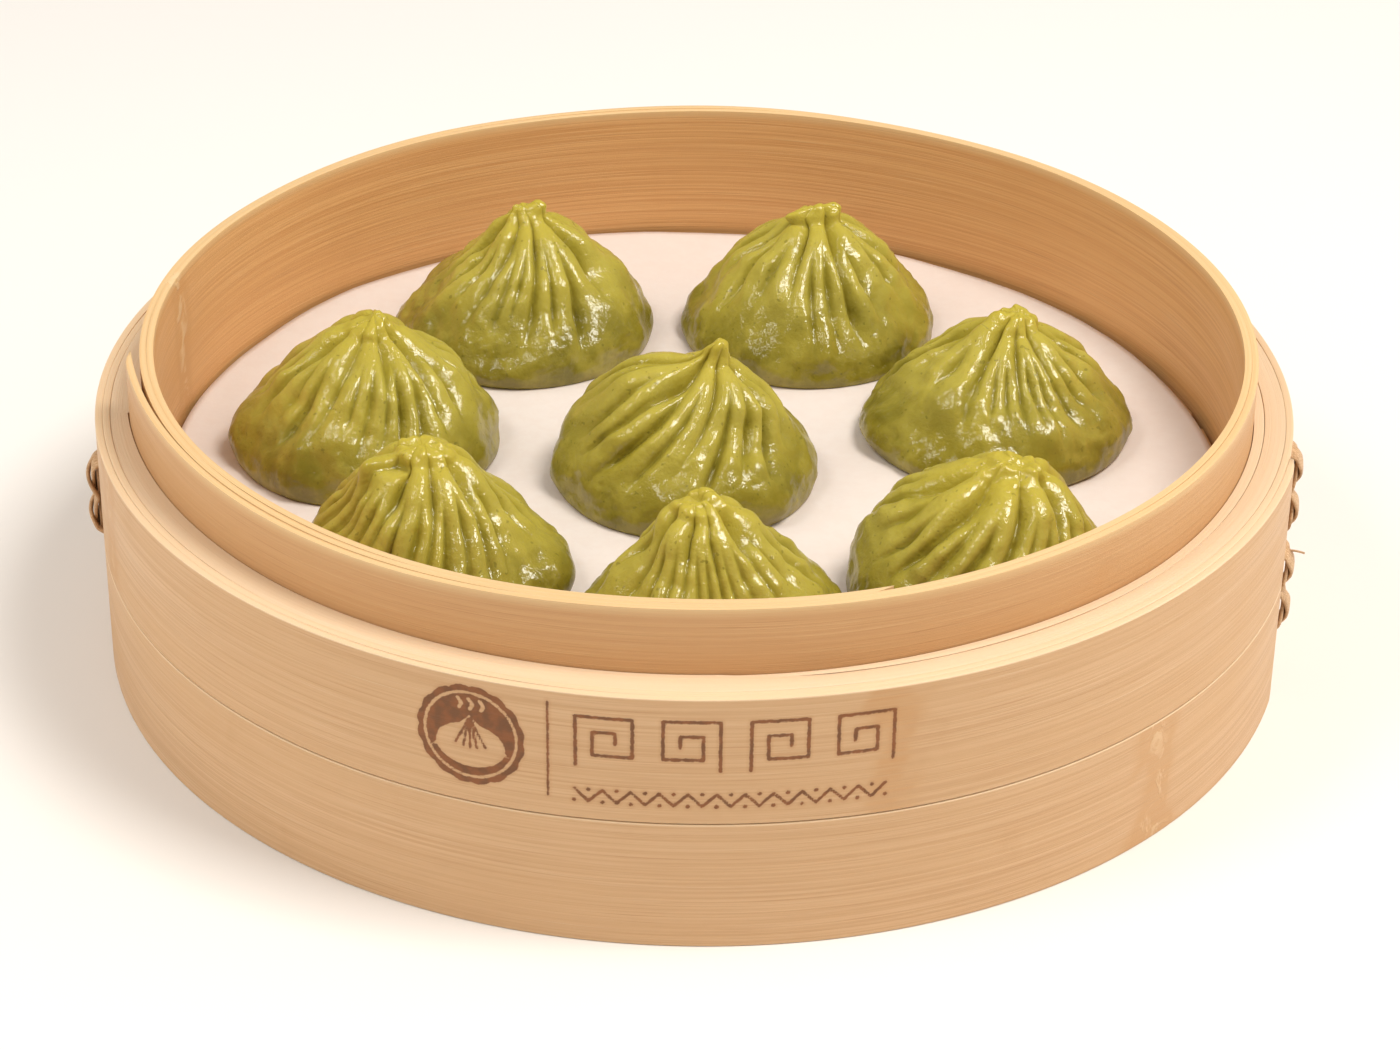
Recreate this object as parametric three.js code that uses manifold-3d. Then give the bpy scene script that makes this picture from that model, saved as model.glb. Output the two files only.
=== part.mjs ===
// Eight pleated soup dumplings on a paper liner in a round bamboo steamer basket.
//
// Frame: millimetres, +Z up, origin on the table at the basket's centre. The burnt mark is on
// the -Y side. Azimuths are in degrees from +X, counterclockwise seen from above.
//
// A steamer basket is wound from long bamboo strips. Each strip goes round more than once, so its
// hoop is a spiral whose thickness steps where the strip begins and where it ends.

import * as THREE from 'three';
import { mergeVertices } from 'three/addons/utils/BufferGeometryUtils.js';
import Module from 'manifold-3d';

// ---- Driving dimensions ----------------------------------------------------------------------

const GAP = 0.3; // daylight between pieces that touch
const ARC_STEP = 7.5; // degrees between the points of a hoop's outline
const COARSE_STEP = 10; // the same for what lies inside the basket
const END_SLANT = 0.6; // degrees over which the cut end of a strip slants

// The inner hoop, whose upper part is the rim: two layers of strip, three over the overlap.
const RIM = { inner: 94, strip: 1.2, bottom: 12.5, top: 57.1, start: -71, overlap: 101 };
// The outer end of the rim's strip springs away from the hoop over the last degrees of its run.
const FLAP = { run: 30, lift: 1.4 };

// The two outer bands stand one on the other: one layer of strip, two over the overlap.
const BAND = { outer: 105.6, strip: 1.3, seam: 22.8, top: 45.9, start: -14.5, overlap: 200 };

// The filler hoop lies between rim and bands, and bows in towards the rim at one place.
const FILLER = { inner: 99.7, bow: 1.5, bowAt: -124, bowWidth: 36 };

// A thin shim closes what is left between the rim and the filler on the right and at the back.
const SHIM = { inner: 98, outer: 99.3, thinEnd: 98.5, from: -87, to: 150, taper: 20 };

// The floor: a low support hoop and two crossbars carry the slats, and paper covers them.
const SUPPORT = { inner: 92, outer: 93.6, bottom: 14, top: 25.7 };
const CROSSBAR = { width: 9, height: 7, x: 38, halfLength: 81 };
const SLAT = { count: 10, width: 14, pitch: 19, bottom: 26, top: 29, reach: 93.3 };
const PAPER = { radius: 92.4, thickness: 0.4 };

// Cane stitches through the bands. The first two are on the right, the last on the left.
const TIES = [
  { azimuth: -6.5, bottom: 24.5, top: 40.5, standsOn: 104.4 },
  { azimuth: -12.2, bottom: 10.5, top: 26.5, standsOn: 104.4 },
  { azimuth: -173.5, bottom: 21.5, top: 35.5, standsOn: 105.1 },
];
const CANE = { width: 3.2, thickness: 0.7, sway: 1.5, weave: 0.55, crossings: 3, steps: 12 };

// Dumplings: centre on the paper, largest radius, height, and how far the tip leans from the
// centre. `twist` is how many degrees the pleats turn on their way up, `nub` the size of the tip.
const DUMPLINGS = [
  { at: [-33.0, 50.3], radius: 24.4, height: 26.3, lean: [1.3, 0.5], pleats: 15, twist: 12, nub: 0.9 },
  { at: [20.9, 51.4], radius: 23.9, height: 27.0, lean: [2.0, 0.0], pleats: 14, twist: -15, nub: 1.5 },
  { at: [-59.0, 4.2], radius: 24.1, height: 25.4, lean: [1.7, 0.5], pleats: 16, twist: 20, nub: 1.2 },
  { at: [-1.9, -6.5], radius: 23.2, height: 26.1, lean: [5.8, 0.5], pleats: 14, twist: 45, nub: 1.0 },
  { at: [54.1, 12.9], radius: 24.1, height: 23.6, lean: [3.0, 1.0], pleats: 15, twist: -25, nub: 1.3 },
  { at: [-44.2, -43.0], radius: 22.7, height: 25.5, lean: [-0.8, 1.0], pleats: 15, twist: 18, nub: 1.5 },
  { at: [3.2, -60.5], radius: 22.4, height: 26.1, lean: [-2.5, 0.5], pleats: 16, twist: -8, nub: 1.0 },
  { at: [47.8, -47.0], radius: 22.4, height: 25.7, lean: [4.4, 0.5], pleats: 14, twist: 40, nub: 1.2 },
];
// Outline of a dumpling from the paper up, as fractions of its radius and height.
const OUTLINE = [
  [0.9, 0], [1.0, 0.11], [0.965, 0.25], [0.86, 0.41], [0.71, 0.56],
  [0.52, 0.7], [0.31, 0.83],
];
// The twisted tip above it: its neck and its top, widened by the dumpling's `nub`.
const NUB_OUTLINE = [[0.14, 0.92], [0.1, 0.985]];
// One pleat is three columns of points: the crease, the crest beside it, and its long shoulder.
const PLEAT_RELIEF = [-0.55, 0.55, 0.2];
const PLEAT_DEPTH = 1.7;
const PLEATS_FROM = 0.25; // height fraction where the pleats fade in
const PLEATS_FULL = 0.62; // height fraction where they are full
const MAX_PLEAT_SHARE = 0.3; // deepest pleat as a share of the local radius
const BELLY_LUMP = 0.012; // unevenness of the foot as a share of the radius

const material = (name, color, roughness) =>
  new THREE.MeshStandardMaterial({ name, color, roughness, metalness: 0 });
const rimBamboo = material('rim_bamboo', 0xcf9f66, 0.55);
const bandBamboo = material('band_bamboo', 0xd9b382, 0.55);
const cutBamboo = material('cut_bamboo', 0xecd0a0, 0.6);
const slatBamboo = material('slat_bamboo', 0xc9a06a, 0.65);
const caneFibre = material('cane', 0x9c6b3c, 0.6);
const linerPaper = material('paper', 0xe9d5c2, 0.8);
const greenDough = material('dough', 0x9f923c, 0.3);

// ---- Helpers ---------------------------------------------------------------------------------

const polar = (radius, azimuth) => {
  const angle = THREE.MathUtils.degToRad(azimuth);
  return new THREE.Vector2(radius * Math.cos(angle), radius * Math.sin(angle));
};

// Points of an arc or spiral, clockwise from `start`, over swept angles `from` to `to`.
function wind(start, from, to, radiusAt, step = ARC_STEP) {
  const steps = Math.max(1, Math.ceil(Math.abs(to - from) / step));
  const points = [];
  for (let i = 0; i <= steps; i += 1) {
    const swept = from + ((to - from) * i) / steps;
    points.push(polar(radiusAt(swept), start - swept));
  }
  return points;
}

// A flat slab with the given outline and holes, between two heights. Extruding turns the holes
// the right way round only for a counterclockwise outline.
function slab(outline, holes, bottom, top) {
  const clockwise = THREE.ShapeUtils.isClockWise(outline);
  const shape = new THREE.Shape(clockwise ? outline.toReversed() : outline);
  shape.holes = holes.map((hole) => new THREE.Path(hole));
  const geometry = new THREE.ExtrudeGeometry(shape, { depth: top - bottom, bevelEnabled: false });
  return geometry.translate(0, 0, bottom);
}

// A full circle without its repeated last point.
const circle = (radius) => wind(0, 0, 360, () => radius, COARSE_STEP).slice(0, -1);

const part = new THREE.Group();

function add(name, geometry, finish) {
  const mesh = new THREE.Mesh(geometry, finish);
  mesh.name = name;
  part.add(mesh);
  return mesh;
}

// ---- Basket hoops ----------------------------------------------------------------------------

// Outer face of the rim's spiral where it is `layers` thick.
const rimFace = (layers) => (swept) => RIM.inner + RIM.strip * (layers + swept / 360);

function innerHoop() {
  const root = RIM.overlap - FLAP.run;
  const flapLift = (swept) => FLAP.lift * Math.max(0, (swept - root) / FLAP.run) ** 2;
  const outer = [
    ...wind(RIM.start, 0, RIM.overlap, (s) => rimFace(3)(s) + flapLift(s)),
    ...wind(RIM.start, RIM.overlap, root, (s) => rimFace(2)(s) + flapLift(s)),
    ...wind(RIM.start, root, 360, rimFace(2)).slice(1, -1),
  ];
  const inner = wind(RIM.start, 0, 360 - END_SLANT, rimFace(0));
  return slab(outer, [inner], RIM.bottom, RIM.top);
}

const bandFace = (swept) => BAND.outer - (BAND.strip * swept) / 360;

// Inner side of the bands: two layers thick over the overlap, then one.
function bandInside(clearance) {
  const oneLayer = BAND.strip + clearance;
  const twoLayers = 2 * BAND.strip + clearance;
  return [
    ...wind(BAND.start, 0, BAND.overlap, (s) => bandFace(s) - twoLayers),
    ...wind(BAND.start, BAND.overlap, 360, (s) => bandFace(s) - oneLayer).slice(0, -1),
  ];
}

const outerBand = (bottom, top) =>
  slab(wind(BAND.start, 0, 360 - END_SLANT, bandFace), [bandInside(0)], bottom, top);

function fillerHoop() {
  const inner = wind(0, 0, 360, (swept) => {
    const off = THREE.MathUtils.euclideanModulo(-swept - FILLER.bowAt + 180, 360) - 180;
    return FILLER.inner - FILLER.bow * Math.exp(-((off / FILLER.bowWidth) ** 4));
  });
  return slab(bandInside(GAP), [inner.slice(0, -1)], 0, BAND.top);
}

function shimHoop() {
  const run = SHIM.to - SHIM.from;
  const outside = (swept) => {
    const fromEnd = Math.min(swept, run - swept) / SHIM.taper;
    return THREE.MathUtils.lerp(SHIM.thinEnd, SHIM.outer, Math.min(1, fromEnd));
  };
  const outline = [
    ...wind(SHIM.to, 0, run, outside),
    ...wind(SHIM.to, run, 0, () => SHIM.inner),
  ];
  return slab(outline, [], 0, BAND.top);
}

function supportHoop() {
  const { inner, outer, bottom, top } = SUPPORT;
  return slab(circle(outer), [circle(inner)], bottom, top);
}

// ---- Floor -----------------------------------------------------------------------------------

function crossbar(side) {
  const bar = new THREE.BoxGeometry(CROSSBAR.width, 2 * CROSSBAR.halfLength, CROSSBAR.height);
  return bar.translate(side * CROSSBAR.x, 0, SUPPORT.top - CROSSBAR.height / 2);
}

// A slat runs along X, and its two ends follow the inner hoop.
function slat(y) {
  const across = [-SLAT.width / 2, 0, SLAT.width / 2].map((offset) => y + offset);
  const end = (v) => Math.sqrt(SLAT.reach ** 2 - v ** 2);
  const right = across.map((v) => new THREE.Vector2(end(v), v));
  const left = across.map((v) => new THREE.Vector2(-end(v), v)).reverse();
  return slab([...right, ...left], [], SLAT.bottom, SLAT.top);
}

// ---- Ties ------------------------------------------------------------------------------------

const wasm = await Module();
wasm.setup();

function toSolid(geometry) {
  geometry.deleteAttribute('normal');
  geometry.deleteAttribute('uv');
  const merged = mergeVertices(geometry);
  const mesh = new wasm.Mesh({
    numProp: 3,
    vertProperties: new Float32Array(merged.attributes.position.array),
    triVerts: new Uint32Array(merged.index.array),
  });
  return new wasm.Manifold(mesh);
}

function toGeometry(solid) {
  const { vertProperties, triVerts } = solid.getMesh();
  const geometry = new THREE.BufferGeometry();
  geometry.setAttribute('position', new THREE.BufferAttribute(vertProperties, 3));
  geometry.setIndex(new THREE.BufferAttribute(triVerts, 1));
  return geometry;
}

// One flat strand of cane, swaying to `side` and back, over and under its partner. It is drawn
// in the plane of the band and then stands up along Z with its thickness along +X.
function caneStrand(length, side) {
  const swayAt = (t) => side * CANE.sway * Math.cos(Math.PI * CANE.crossings * t);
  const liftAt = (t) => side * CANE.weave * Math.sin(Math.PI * CANE.crossings * t);
  const edge = (offset) => {
    const points = [];
    for (let i = 0; i <= CANE.steps; i += 1) {
      const t = i / CANE.steps;
      points.push(new THREE.Vector2(length * t, swayAt(t) + offset));
    }
    return points;
  };
  const outline = [...edge(-CANE.width / 2), ...edge(CANE.width / 2).reverse()];
  const strand = slab(outline, [], CANE.weave, CANE.weave + CANE.thickness);
  const position = strand.attributes.position;
  for (let i = 0; i < position.count; i += 1) {
    position.setZ(i, position.getZ(i) + liftAt(position.getX(i) / length));
  }
  return strand.rotateY(-Math.PI / 2).rotateZ(Math.PI);
}

function tie({ azimuth, bottom, top, standsOn }) {
  const [over, under] = [1, -1].map((side) => toSolid(caneStrand(top - bottom, side)));
  const geometry = toGeometry(over.add(under));
  geometry.translate(standsOn + GAP, 0, bottom);
  return geometry.rotateZ(THREE.MathUtils.degToRad(azimuth));
}

// ---- Dumplings -------------------------------------------------------------------------------

const pleatDepth = (height, radius) => {
  const fade = THREE.MathUtils.smoothstep(height, PLEATS_FROM, PLEATS_FULL);
  return Math.min(PLEAT_DEPTH * fade, MAX_PLEAT_SHARE * radius);
};

function dumpling({ at, radius, height, lean, pleats, twist, nub }) {
  const columns = pleats * PLEAT_RELIEF.length;
  const rings = [...OUTLINE, ...NUB_OUTLINE.map(([r, z]) => [r * nub, z])];
  const pointAt = (r, z, column) => {
    const depth = pleatDepth(z, r * radius) * PLEAT_RELIEF[column % PLEAT_RELIEF.length];
    const angle = (2 * Math.PI * column) / columns + THREE.MathUtils.degToRad(twist) * z;
    const lump = 1 + BELLY_LUMP * (1 - z) * Math.sin(2 * angle + pleats);
    const reach = r * radius * lump + depth;
    const shift = z ** 2.5;
    return [
      at[0] + reach * Math.cos(angle) + lean[0] * shift,
      at[1] + reach * Math.sin(angle) + lean[1] * shift,
      z * height,
    ];
  };
  const vertices = [at[0], at[1], 0];
  rings.forEach(([r, z]) => {
    for (let column = 0; column < columns; column += 1) vertices.push(...pointAt(r, z, column));
  });
  vertices.push(at[0] + lean[0], at[1] + lean[1], height);

  const bottomPole = 0;
  const topPole = 1 + rings.length * columns;
  const vertex = (ring, column) => 1 + ring * columns + (column % columns);
  const faces = [];
  for (let column = 0; column < columns; column += 1) {
    faces.push(bottomPole, vertex(0, column + 1), vertex(0, column));
    for (let ring = 0; ring < rings.length - 1; ring += 1) {
      const [a, b] = [vertex(ring, column), vertex(ring, column + 1)];
      const [c, d] = [vertex(ring + 1, column), vertex(ring + 1, column + 1)];
      faces.push(a, b, d, a, d, c);
    }
    faces.push(vertex(rings.length - 1, column), vertex(rings.length - 1, column + 1), topPole);
  }
  const geometry = new THREE.BufferGeometry();
  geometry.setAttribute('position', new THREE.Float32BufferAttribute(vertices, 3));
  geometry.setIndex(faces);
  return geometry;
}

// ---- Assembly --------------------------------------------------------------------------------

add('inner_hoop', innerHoop(), rimBamboo);
add('shim_hoop', shimHoop(), cutBamboo);
add('filler_hoop', fillerHoop(), cutBamboo);
add('outer_band_lower', outerBand(0, BAND.seam), bandBamboo);
add('outer_band_upper', outerBand(BAND.seam + GAP, BAND.top), bandBamboo);

add('support_hoop', supportHoop(), slatBamboo);
add('crossbar_1', crossbar(-1), slatBamboo);
add('crossbar_2', crossbar(1), slatBamboo);
for (let i = 0; i < SLAT.count; i += 1) {
  const y = (i - (SLAT.count - 1) / 2) * SLAT.pitch;
  add(`slat_${String(i + 1).padStart(2, '0')}`, slat(y), slatBamboo);
}

const paperBottom = SLAT.top + GAP;
const paperTop = paperBottom + PAPER.thickness;
add('paper_liner', slab(circle(PAPER.radius), [], paperBottom, paperTop), linerPaper);

DUMPLINGS.forEach((shape, i) => {
  add(`dumpling_${i + 1}`, dumpling(shape), greenDough).position.z = paperTop + GAP;
});

TIES.forEach((stitch, i) => add(`tie_${i + 1}`, tie(stitch), caneFibre));

export default part;
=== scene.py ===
"""Looks for eight green soup dumplings in a round bamboo steamer basket.

Every hoop, slat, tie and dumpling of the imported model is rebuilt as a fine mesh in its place, with
a procedural material. Meshes are worked out in millimetres. Azimuths are in degrees from +X,
counterclockwise seen from above, and the burnt mark is on the -Y side.
"""

import math

import bmesh
import bpy
import numpy as np
from mathutils import Matrix, Vector


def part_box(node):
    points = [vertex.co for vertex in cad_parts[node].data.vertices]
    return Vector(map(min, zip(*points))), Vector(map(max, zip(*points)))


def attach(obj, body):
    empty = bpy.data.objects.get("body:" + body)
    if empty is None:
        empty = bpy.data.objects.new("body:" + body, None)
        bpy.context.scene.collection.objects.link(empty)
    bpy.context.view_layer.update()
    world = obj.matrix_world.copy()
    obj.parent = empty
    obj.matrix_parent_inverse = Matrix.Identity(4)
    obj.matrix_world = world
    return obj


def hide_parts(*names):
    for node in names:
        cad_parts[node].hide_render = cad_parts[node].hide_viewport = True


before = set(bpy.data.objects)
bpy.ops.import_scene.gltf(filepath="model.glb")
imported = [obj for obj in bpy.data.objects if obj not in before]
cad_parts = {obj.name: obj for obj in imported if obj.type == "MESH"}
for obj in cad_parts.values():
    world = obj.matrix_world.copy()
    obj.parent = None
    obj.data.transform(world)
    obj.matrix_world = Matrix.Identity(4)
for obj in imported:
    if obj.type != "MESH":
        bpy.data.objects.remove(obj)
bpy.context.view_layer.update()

MM = 0.001
FINE = 1.0  # share of the full mesh density
SINK = 0.42  # mm the dumplings are let down from their CAD feet onto the paper
MATERIALS = {}  # by slot


# ---- Camera ----

CAMERA_PLACE = (0.0, -563.7, 336.0)  # mm
CAMERA_PITCH = 29.55  # degrees below the horizon
CAMERA_YAW = 0.09
CAMERA_ROLL = 0.79
CAMERA_LENS = 92.34  # mm on a 36 mm wide sensor


def add_object(name, data):
    new = bpy.data.objects.new(name, data)
    bpy.context.scene.collection.objects.link(new)
    return new


def make_camera():
    pitch, yaw, roll = (math.radians(a) for a in (CAMERA_PITCH, CAMERA_YAW, CAMERA_ROLL))
    forward = Vector((math.sin(yaw) * math.cos(pitch), math.cos(yaw) * math.cos(pitch),
                      -math.sin(pitch)))
    level = forward.cross(Vector((0, 0, 1))).normalized()
    upright = level.cross(forward)
    right = math.cos(roll) * level + math.sin(roll) * upright
    up = math.cos(roll) * upright - math.sin(roll) * level
    data = bpy.data.cameras.new("camera")
    data.lens = CAMERA_LENS
    data.sensor_width = 36.0
    data.clip_start = 0.01
    camera = add_object("camera", data)
    turn = Matrix((right, up, -forward)).transposed().to_4x4()
    camera.matrix_world = Matrix.Translation(Vector(CAMERA_PLACE) * MM) @ turn
    bpy.context.scene.camera = camera


make_camera()


# ---- Helpers ----

def box_mm(node):
    low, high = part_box(node)
    return np.array(low) / MM, np.array(high) / MM


def smoothstep(low, high, value):
    t = np.clip((value - low) / (high - low), 0.0, 1.0)
    return t * t * (3 - 2 * t)


def angle_off(azimuth, centre):
    """Signed degrees from `centre` to `azimuth`, from -180 to 180."""
    return (azimuth - centre + 180) % 360 - 180


def toward(azimuth, *more):
    """Unit plan directions towards azimuths, with any further coordinates after them."""
    return np.stack([np.cos(np.radians(azimuth)), np.sin(np.radians(azimuth)), *more], -1)


def bell(offset, width):
    return np.exp(-(offset / width) ** 2)


def ripples(points, wavelength, seed, count=14):
    """A smooth random field of about -1 to 1: plane waves in random directions, added up."""
    rng = np.random.default_rng(seed)
    direction = rng.normal(size=(count, 3))
    direction /= np.linalg.norm(direction, axis=1, keepdims=True)
    waves = direction * (2 * np.pi / wavelength) * rng.uniform(0.6, 1.5, (count, 1))
    phase = rng.uniform(0, 2 * np.pi, count)
    return np.sin(points @ waves.T + phase).sum(axis=-1) / math.sqrt(count)


def smooth_curve(points, t):
    """Catmull-Rom curve through `points`, at parameters `t` from 0 to 1."""
    points = np.asarray(points, float)
    padded = np.vstack([2 * points[0] - points[1], points, 2 * points[-1] - points[-2]])
    place = np.clip(t, 0, 1) * (len(points) - 1)
    i = np.minimum(place.astype(int), len(points) - 2)
    f = (place - i)[..., None]
    a, b, c, d = (padded[i + k] for k in range(4))
    return 0.5 * (2 * b + (c - a) * f + (2 * a - 5 * b + 4 * c - d) * f ** 2
                  + (3 * b - a - 3 * c + d) * f ** 3)


def face_outwards(mesh):
    shape = bmesh.new()
    shape.from_mesh(mesh)
    bmesh.ops.recalc_face_normals(shape, faces=shape.faces)
    shape.to_mesh(mesh)
    shape.free()


def make_piece(name, points_mm, faces, nodes, slot, attributes):
    """A closed mesh from points in millimetres, declared to the frame. Quads and triangles are
    smooth, and larger faces, which cap strips, are flat."""
    mesh = bpy.data.meshes.new(name)
    mesh.from_pydata((np.asarray(points_mm) * MM).tolist(), [], faces)
    for key, values in attributes.items():
        values = np.asarray(values, np.float32)
        vector = values.ndim == 2
        layer = mesh.attributes.new(key, "FLOAT_VECTOR" if vector else "FLOAT", "POINT")
        layer.data.foreach_set("vector" if vector else "value", values.ravel())
    mesh.materials.append(MATERIALS[slot])
    face_outwards(mesh)
    mesh.polygons.foreach_set("use_smooth", [p.loop_total <= 4 for p in mesh.polygons])
    mesh.update()
    piece = add_object(name, mesh)
    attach(piece, "root")
    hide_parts(*nodes)


def grid_faces(rows, columns, wrap_rows, wrap_columns):
    """Quads between neighbouring rows and columns of points, counted row by row."""
    row_count = rows if wrap_rows else rows - 1
    column_count = columns if wrap_columns else columns - 1
    i, j = np.meshgrid(np.arange(row_count), np.arange(column_count), indexing="ij")
    i2, j2 = (i + 1) % rows, (j + 1) % columns
    quads = np.stack([i * columns + j, i * columns + j2, i2 * columns + j2, i2 * columns + j], -1)
    return quads.reshape(-1, 4).tolist()


# ---- Material helpers ----

class Shader:
    """Builds a material's nodes. A socket given as a value is linked, and a number is set.
    Colours are mixed as they look on screen, red, green and blue from 0 to 255."""

    def __init__(self, name):
        self.material = MATERIALS[name] = bpy.data.materials.new(name)
        self.material.use_nodes = True
        self.tree = self.material.node_tree
        self.surface = self.tree.nodes["Principled BSDF"]

    def put(self, node, key, value):
        socket = node.inputs[key]
        if isinstance(value, bpy.types.NodeSocket):
            self.tree.links.new(value, socket)
        else:
            socket.default_value = value

    def node(self, kind, out=0, settings=None, **values):
        node = self.tree.nodes.new("ShaderNode" + kind)
        for key, value in (settings or {}).items():
            setattr(node, key, value)
        for key, value in values.items():
            self.put(node, key.replace("_", " "), value)
        return node.outputs[out]

    def attribute(self, name, vector=False):
        return self.node("Attribute", 1 if vector else 2, {"attribute_name": name})

    def place(self):
        return self.node("TexCoord", "Object")

    def math(self, operation, a, b, kind="Math"):
        node = self.tree.nodes.new("ShaderNode" + kind)
        node.operation = operation
        self.put(node, 0, a)
        self.put(node, 1, b)
        return node.outputs[0]

    def times(self, a, b):
        return self.math("MULTIPLY", a, b)

    def scaled(self, vector, factors):
        return self.math("MULTIPLY", vector, factors, "VectorMath")

    def noise(self, vector, scale, detail=3.0, roughness=0.5, distortion=0.0):
        return self.node("TexNoise", "Fac", None, Vector=vector, Scale=scale, Detail=detail,
                         Roughness=roughness, Distortion=distortion)

    def ramp(self, value, low, high, to_low=0.0, to_high=1.0):
        return self.node("MapRange", 0, {"interpolation_type": "SMOOTHSTEP"}, Value=value,
                         From_Min=low, From_Max=high, To_Min=to_low, To_Max=to_high)

    def mix(self, factor, a, b, blend="MIX"):
        node = self.tree.nodes.new("ShaderNodeMix")
        node.data_type = "RGBA"
        node.blend_type = blend
        self.put(node, 0, factor)
        for index, colour in ((6, a), (7, b)):
            is_colour = not isinstance(colour, bpy.types.NodeSocket)
            self.put(node, index, (*linear(*colour), 1.0) if is_colour else colour)
        return node.outputs[2]

    def lay(self, factor, colour):
        """Lays a colour over the material's colour so far."""
        self.colour = self.mix(factor, self.colour, colour)

    def bump(self, height, distance, strength, **before):
        return self.node("Bump", Height=height, Distance=distance, Strength=strength, **before)

    def finish(self, **values):
        """Sets the surface's inputs, each named with _ for a space."""
        for key, value in values.items():
            self.put(self.surface, key.replace("_", " "), value)


def linear(red, green, blue):
    """A colour as it looks on screen, 0 to 255, turned into the shader's linear values."""
    return tuple(((c / 255 + 0.055) / 1.055) ** 2.4 if c > 10 else c / 255 / 12.92
                 for c in (red, green, blue))


# ---- Bamboo ----

def bamboo_material(name, face, light, dark, cut, skin):
    """A strip of bamboo: fibres along it, node scars, burnt lines, a paler sawn edge, and the
    colour of its outward side, nearer the cane's skin."""
    g = Shader(name)
    grain, place = g.attribute("grain", vector=True), g.place()
    edge, scar = g.attribute("cut"), g.attribute("scar")
    outside, burn = g.attribute("outside"), g.attribute("burn")
    fibre = g.noise(g.scaled(grain, (0.012, 0.012, 2.2)), 1.0, 5, 0.6, 0.15)
    streak = g.noise(g.scaled(grain, (0.03, 0.03, 8.0)), 1.0, 2, 0.5)
    cloud = g.noise(g.scaled(grain, (0.02, 0.02, 0.10)), 1.0, 3, 0.55)
    pore = g.noise(g.scaled(grain, (0.05, 0.05, 6.0)), 1.0, 2, 0.5)
    blotch = g.noise(g.scaled(grain, (0.05, 0.05, 0.05)), 1.0, 4, 0.6)

    g.colour = g.mix(g.ramp(fibre, 0.37, 0.63), dark, light)
    g.lay(g.ramp(cloud, 0.35, 0.7, 0.1, 0.6), face)
    g.lay(g.times(outside, 0.6), skin)
    g.lay(g.ramp(streak, 0.60, 0.78, 0.0, 0.5), cut)
    g.lay(g.ramp(pore, 0.58, 0.74, 0.0, 0.4), (176, 124, 76))
    g.lay(g.ramp(blotch, 0.60, 0.78, 0.0, 0.35), dark)
    edge_tone = g.mix(g.ramp(fibre, 0.35, 0.65, 0.0, 0.35), cut, light)
    g.lay(g.times(edge, 0.9), edge_tone)
    stain = g.times(g.ramp(scar, 0.05, 0.45), g.ramp(fibre, 0.35, 0.6, 0.1, 0.5))
    stain = g.times(stain, g.ramp(edge, 0.0, 0.5, 1.0, 0.0))
    g.lay(stain, (196, 142, 84))
    knobbly = g.noise(place, 240, 3, 0.6, 1.0)
    scarred = g.times(g.ramp(scar, 0.5, 0.95), g.ramp(knobbly, 0.47, 0.62))
    g.lay(g.times(scarred, 0.45), (234, 204, 160))
    char = g.ramp(g.math("ADD", burn, g.ramp(g.noise(place, 1400, 2), 0, 1, -0.12, 0.12)),
                  0.93, 1.14)
    scorch = g.mix(g.ramp(g.noise(place, 520, 2), 0.35, 0.65), (122, 62, 20), (86, 42, 10))
    g.lay(g.times(char, 0.94), scorch)
    halo = g.times(g.ramp(burn, 0.35, 1.0), 0.18)
    g.lay(halo, (176, 116, 62))

    relief = g.math("ADD", g.times(fibre, 0.8), g.times(streak, 0.5))
    relief = g.math("ADD", relief, scarred)
    relief = g.math("SUBTRACT", relief, g.times(char, 0.5))
    g.finish(Base_Color=g.colour, Normal=g.bump(relief, 0.00022, 0.5),
             Roughness=g.ramp(cloud, 0.3, 0.7, 0.42, 0.58), IOR=1.45,
             Subsurface_Weight=0.06, Subsurface_Radius=(1.0, 0.6, 0.3),
             Subsurface_Scale=0.001)


CORNER_ANGLES = np.radians([0, 30, 60, 90])
SAWN = 0.12  # mm at each end of a strip's height that shows as sawn


def strip_section(face_rows, outer_rows, corner):
    """The rounded outline of a standing strip, inner face first, as columns: share across its
    thickness, inset from that side, share of its height, and offset from that end."""
    turn_out, turn_in = 1 - np.cos(CORNER_ANGLES), 1 - np.sin(CORNER_ANGLES)
    inset = corner * 1.6
    points = [(0, 0, 0, corner), (0, 0, 0, corner + inset)]
    points += [(0, 0, f, 0) for f in np.linspace(0.04, 0.96, face_rows)]
    points += [(0, 0, 1, -corner - inset)]
    points += [(0, corner * o, 1, -corner * i) for o, i in zip(turn_out, turn_in)]
    points += [(0.5, 0, 1, 0)]
    points += [(1, -corner * i, 1, -corner * o) for o, i in zip(turn_out, turn_in)]
    points += [(1, 0, 1, -corner - inset)]
    points += [(1, 0, f, 0) for f in np.linspace(0.96, 0.04, outer_rows)]
    points += [(1, 0, 0, corner + inset)]
    points += [(1, -corner * o, 0, corner * i) for o, i in zip(turn_out, turn_in)]
    points += [(0.5, 0, 0, 0)]
    points += [(0, corner * i, 0, corner * o) for o, i in zip(turn_out, turn_in)][:-1]
    return np.array(points)


def strip_points(inner, outward, thickness, low, high, section):
    """Points of a strip. `inner` and `outward` are plan points and directions along it. Its
    thickness and heights are given once or for each of them."""
    share, inset, level, offset = section.T
    thickness, low, high = (value + np.zeros(len(inner)) for value in (thickness, low, high))
    out = share * thickness[:, None] + inset
    plan = inner[:, None, :] + out[..., None] * outward[:, None, :]
    height = low[:, None] + level * (high - low)[:, None] + offset
    return np.concatenate([plan, height[..., None]], axis=-1)


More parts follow.
